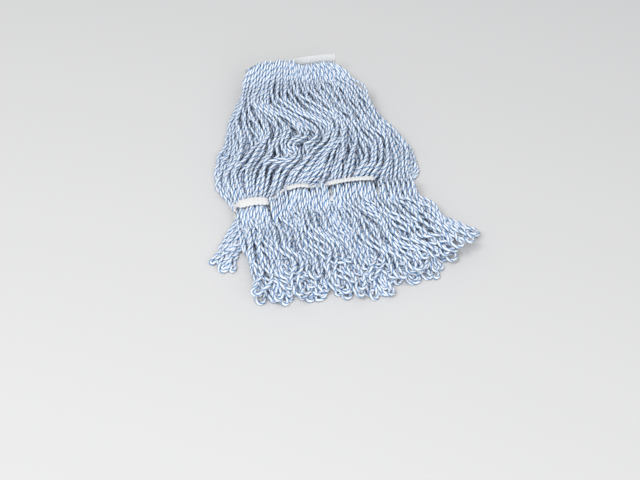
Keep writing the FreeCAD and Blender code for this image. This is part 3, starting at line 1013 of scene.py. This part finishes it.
headTape = {
    "thick": 1.0 * mm,
    "flare": 3.4 * mm,  # how far the free top edge leans out at the right
    "ribs": 1.3 * mm,
    "stitch": 3.6 * mm,
    "pitch": 5.0 * mm,
    "thread": 1.1 * mm,
    "rows": (0.40, 0.80),  # stitch rows of each half, as a share of its width
    "sunk": 0.1 * mm,  # how deep a stitch lies in the cloth
    "tacks": 14,  # stitches in a bar tack
    "tackPlaces": (3.0, 166.0),  # grid rows of the bar tacks
    "tackSpan": (0.32, 0.92),
    "curveUp": 0.6 * mm,  # how far the edges curve in
    "curveDown": 3.4 * mm,
    "pucker": 0.25 * mm,
    "wave": 0.3 * mm,
    "tuck": 8 * mm,  # how far the upper left corner is turned down, over what length
    "tuckLength": 18 * mm,
}

innerTape = {"thick": 0.9 * mm, "bend": 0.9 * mm, "behindCrease": 2.2 * mm, "ripple": 0.2 * mm}


def makeHeadband():
    left, right = headbandLow[0], headbandHigh[0]
    halfWide = headbandTop - foldHeight
    along = np.linspace(0, right - left, 170)
    across = np.linspace(-1, 1, 37)
    x = left + along[:, None] + 0 * across[None, :]
    lean = ease((x - 0.5 * (left + right) + 0.02) / 0.05)
    turn = along[:, None] / headTape["pitch"] * 2 * math.pi
    pucker = headTape["pucker"] * (np.sin(turn) - 1) * np.abs(across[None, :])
    wave = headTape["wave"] * (np.sin(along[:, None] * 118 + 0.6) - 1) * np.abs(across[None, :]) ** 1.5
    upper, lower = np.clip(across[None, :], 0, 1), np.clip(-across[None, :], 0, 1)
    curve = -headTape["curveUp"] * (1 - lean) * upper ** 2 - headTape["curveDown"] * lower ** 2
    tucked = ease(1 - along[:, None] / headTape["tuckLength"]) * upper ** 2
    flare = headTape["flare"] * lean * np.clip((upper - 0.45) / 0.55, 0, 1) ** 1.3
    y = tapeFace - 0.9 * mm + curve + flare + wave + pucker
    z = foldHeight + across[None, :] * halfWide + 1.6 * mm * lean * upper - headTape["tuck"] * tucked
    centre = np.stack(np.broadcast_arrays(x, y, z), 2)
    rows = [sign * row for row in headTape["rows"] for sign in (-1, 1)]
    tape, normal = ribbon("headband_tape", centre, along, 2 * halfWide, headTape["thick"],
                          headTape["ribs"], rows)
    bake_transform(tape)
    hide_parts("headband_outer_tape_lower", "headband_outer_tape_upper")
    lift = headTape["thick"] / 2 - headTape["sunk"]
    middle = (len(across) - 1) / 2
    for half, body, sign in (("lower", "lower_half", -1), ("upper", "upper_half", 1)):
        columns = [middle * (1 + sign * row) for row in headTape["rows"]]
        stitches = stitchRows(centre, normal, along, columns, headTape["stitch"], headTape["pitch"], lift)
        thread = stitching(f"headband_thread_{half}", stitches, headTape["thread"])
        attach(thread, body)
        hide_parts(f"headband_stitches_{half}")
        tacks = []
        for row in headTape["tackPlaces"]:
            for number in range(headTape["tacks"]):
                column = middle * (1 + sign * mix(*headTape["tackSpan"], number / (headTape["tacks"] - 1)))
                start, out = pointOn(centre, normal, row - 1.6, column, lift)
                end, _ = pointOn(centre, normal, row + 1.2, column + 0.5 * sign, lift)
                tacks.append((start, end, out))
        bars = stitching(f"headband_tacks_{half}", tacks, headTape["thread"])
        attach(bars, body)
        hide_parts(f"headband_bar_tacks_{half}")
    insideTape(left, right, halfWide)


def insideTape(left, right, halfWide):  # the inner tape, creased in the fold with a leaf along each layer
    along = np.linspace(0, right - left, 120)
    share = np.linspace(-1, 1, 97)  # close enough together to bend smoothly when the head is opened
    leaf = np.abs(share) * halfWide
    bend = innerTape["bend"]
    x = left + along[:, None] + 0 * share[None, :]
    y = creaseY - innerTape["behindCrease"] - np.maximum(leaf - bend, 0)[None, :] + 0 * along[:, None]
    ripple = innerTape["ripple"] * np.sin(along[:, None] / headTape["pitch"] * 2 * math.pi)
    z = foldHeight + np.sign(share) * np.minimum(leaf, bend)[None, :] + ripple
    centre = np.stack(np.broadcast_arrays(x, y, z), 2)
    tape, _ = ribbon("inner_headband_tape", centre, along, 2 * halfWide, innerTape["thick"], headTape["ribs"])
    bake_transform(tape)
    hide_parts("headband_inner_tape_lower", "headband_inner_tape_upper")


tailTape = {
    "thick": 0.9 * mm,
    "wide": 15.6 * mm,
    "ribs": 1.3 * mm,
    "columns": 19,
    "rows": (-0.45, 0.45),  # its stitch rows, from edge (-1) to edge (1)
    "stitch": 3.6 * mm,
    "pitch": 5.0 * mm,
    "thread": 1.1 * mm,
    "pucker": 0.7 * mm,
    "puckerPitch": 5.4 * mm,
    "crumpled": 0.38,  # share of its width that is left in a gap between the bunches, on top and below
    "crumpledUnder": 0.25,
    "turned": 1.6 * mm,  # how far its edges turn down
}


def alongPath(knots, count):  # a smooth path through a few knots, and how far along it each point is
    knots = np.array(knots, float)
    fine = throughPoints(knots, np.full(len(knots), 1.0 * mm))[0]
    far = np.concatenate([[0], np.cumsum(np.linalg.norm(np.diff(fine, axis=0), axis=1))])
    even = np.linspace(0, far[-1], count)
    return np.stack([np.interp(even, far, fine[:, axis]) for axis in range(3)], 1), even


def upperTapePath():  # over the bunches, down into the gaps between them, and round the outer sides
    knots, crown, dip = [], gathers["crown"], gathers["dip"]
    for left, right, y, top in gathers["bunches"]:
        low = top - crown - dip
        knots += [(left - 3 * mm, y + dip, low), (left + 3 * mm, y, top - crown * 0.5),
                  ((left + right) / 2, y, top), (right - 3 * mm, y, top - crown * 0.5),
                  (right + 3 * mm, y + dip, low)]
    first, last, foot = knots[0], knots[-1], upperTailBack[0][2] + 1.6 * mm
    return [(first[0] - 1.5 * mm, first[1], foot)] + knots + [(last[0] + 1.5 * mm, last[1] + dip / 2, foot)]


def widthShare(name, path):  # how much of its width each of the two upper tapes keeps along its path
    if name == "upper_tail_tape":
        high = ease((path[:, 2] - path[:, 2].max() + 10 * mm) / (7 * mm))
        return np.interp(path[:, 0], *gathers["narrowing"]) * mix(tailTape["crumpled"], 1.0, high)
    kept, bunches, soft = np.ones(len(path)), gathers["bunches"], 5 * mm
    if name == "upper_tail_tape_under":
        for (_, left, _, _), (right, _, _, _) in zip(bunches, bunches[1:]):
            inGap = ease((path[:, 0] - left + soft) / soft) * ease((right + soft - path[:, 0]) / soft)
            kept = kept * (1 - (1 - tailTape["crumpledUnder"]) * inGap)
    return kept


def makeTail(name, knots, body, node, slopes, stitchNode=None):
    path, along = alongPath(knots, 230)
    across = np.linspace(1, -1, tailTape["columns"])
    turn = along / tailTape["puckerPitch"] * 2 * math.pi
    pucker = tailTape["pucker"] * np.sin(turn)[:, None] * (0.4 + 0.6 * across[None, :] ** 2)
    slope = np.interp(path[:, 0], *slopes)
    width = np.stack([0 * slope, np.cos(slope), np.sin(slope)], 1)
    scallop = (1 + 0.07 * np.sin(turn + 1.2)) * widthShare(name, path)
    fromMiddle = (across * tailTape["wide"] / 2)[None, :, None]
    centre = path[:, None, :] + (width * scallop[:, None])[:, None, :] * fromMiddle
    centre[:, :, 2] += pucker - tailTape["turned"] * across[None, :] ** 2
    rows = tailTape["rows"] if stitchNode else ()
    tape, normal = ribbon(name, centre, along, tailTape["wide"], tailTape["thick"], tailTape["ribs"], rows)
    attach(tape, body)
    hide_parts(node)
    if stitchNode:
        columns = [(tailTape["columns"] - 1) / 2 * (1 + row) for row in rows]
        lift = tailTape["thick"] / 2 - headTape["sunk"]
        stitches = stitchRows(centre, normal, along, columns, tailTape["stitch"], tailTape["pitch"], lift)
        thread = stitching(name + "_thread", stitches, tailTape["thread"])
        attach(thread, body)
        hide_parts(stitchNode)


def makeTails():
    makeTail("upper_tail_tape", upperTapePath(), "upper_half", "upper_tail_tape_face",
             gathers["slopes"], "upper_tail_stitches")
    foot = upperTailBack[0][2] + 0.6 * mm
    places = ((upperTailLow[0], -0.069), (-0.094, -0.069), (-0.080, -0.054), (-0.066, -0.052),
              (-0.034, -0.050), (-0.021, -0.042), (-0.008, -0.050), (upperTailHigh[0] - 7 * mm, -0.050))
    level = ((0.0, 1.0), (0.0, 0.0))
    makeTail("upper_tail_tape_under", [(x, y, foot) for x, y in places], "upper_half",
             "upper_tail_tape_back", level)
    across = np.linspace(lowerTailLow[0], lowerTailHigh[0], 6)
    middle = (lowerTailLow[2] + lowerTailHigh[2]) / 2
    makeTail("lower_tail_tape", [(x, tailMiddle, middle) for x in across], "lower_half",
             "lower_tail_tape_face", level, "lower_tail_stitches")
    foot = lowerTailBack[0][2] + 2.2 * mm
    makeTail("lower_tail_tape_under", [(x, tailMiddle, foot) for x in across], "lower_half",
             "lower_tail_tape_back", level)


makeHeadband()
makeTails()
print("tapes and stitches made")

# camera, floor and light

camera = {
    "place": (-0.2473, -1.1853, 1.1063),
    "ahead": (0.13827, 0.68588, -0.71446),
    "up": (0.12057, 0.70437, 0.69952),
    "lens": 65.17,
    "sensor": 36.0,
}

sky = {"colour": (0.95, 0.97, 1.0, 1), "strength": 0.72}

# place, size and power of each lamp; they all face the middle
lamps = {"key": ((-1.2, -0.9, 2.2), 1.1, 37.0), "front": ((0.5, -2.0, 1.4), 1.6, 18.0)}


def makeCamera():
    data = bpy.data.cameras.new("camera")
    data.lens = camera["lens"]
    data.sensor_width = camera["sensor"]
    item = bpy.data.objects.new("camera", data)
    bpy.context.scene.collection.objects.link(item)
    back = -Vector(camera["ahead"]).normalized()
    upward = Vector(camera["up"]).normalized()
    right = upward.cross(back).normalized()
    upward = back.cross(right)
    item.location = camera["place"]
    item.rotation_mode = "QUATERNION"
    basis = [[right[row], upward[row], back[row]] for row in range(3)]
    item.rotation_quaternion = Matrix(basis).to_quaternion()
    bpy.context.scene.camera = item


def makeFloor():
    mesh = bpy.data.meshes.new("floor")
    mesh.from_pydata([(-6, -6, 0), (6, -6, 0), (6, 6, 0), (-6, 6, 0)], [], [(0, 1, 2, 3)])
    floor = bpy.data.objects.new("floor", mesh)
    bpy.context.scene.collection.objects.link(floor)
    material, nodes, _ = newMaterial("paleFloor")
    shader = nodes["Principled BSDF"]
    shader.inputs["Base Color"].default_value = (0.60, 0.595, 0.59, 1)
    shader.inputs["Roughness"].default_value = 0.9
    shader.inputs["Specular IOR Level"].default_value = 0.1
    mesh.materials.append(material)


def areaLight(name, place, size, power):
    data = bpy.data.lights.new(name, "AREA")
    data.size = size
    data.energy = power
    item = bpy.data.objects.new(name, data)
    item.location = place
    item.rotation_mode = "QUATERNION"
    item.rotation_quaternion = (-Vector(place)).to_track_quat("-Z", "Y")
    bpy.context.scene.collection.objects.link(item)


def makeLight():
    world = bpy.data.worlds.new("studio")
    world.use_nodes = True
    background = world.node_tree.nodes["Background"]
    background.inputs["Color"].default_value = sky["colour"]
    background.inputs["Strength"].default_value = sky["strength"]
    bpy.context.scene.world = world
    for name, values in lamps.items():
        areaLight(name, *values)


makeCamera()
makeFloor()
makeLight()
bpy.context.scene.view_settings.view_transform = "Standard"
print("camera, floor and light made")
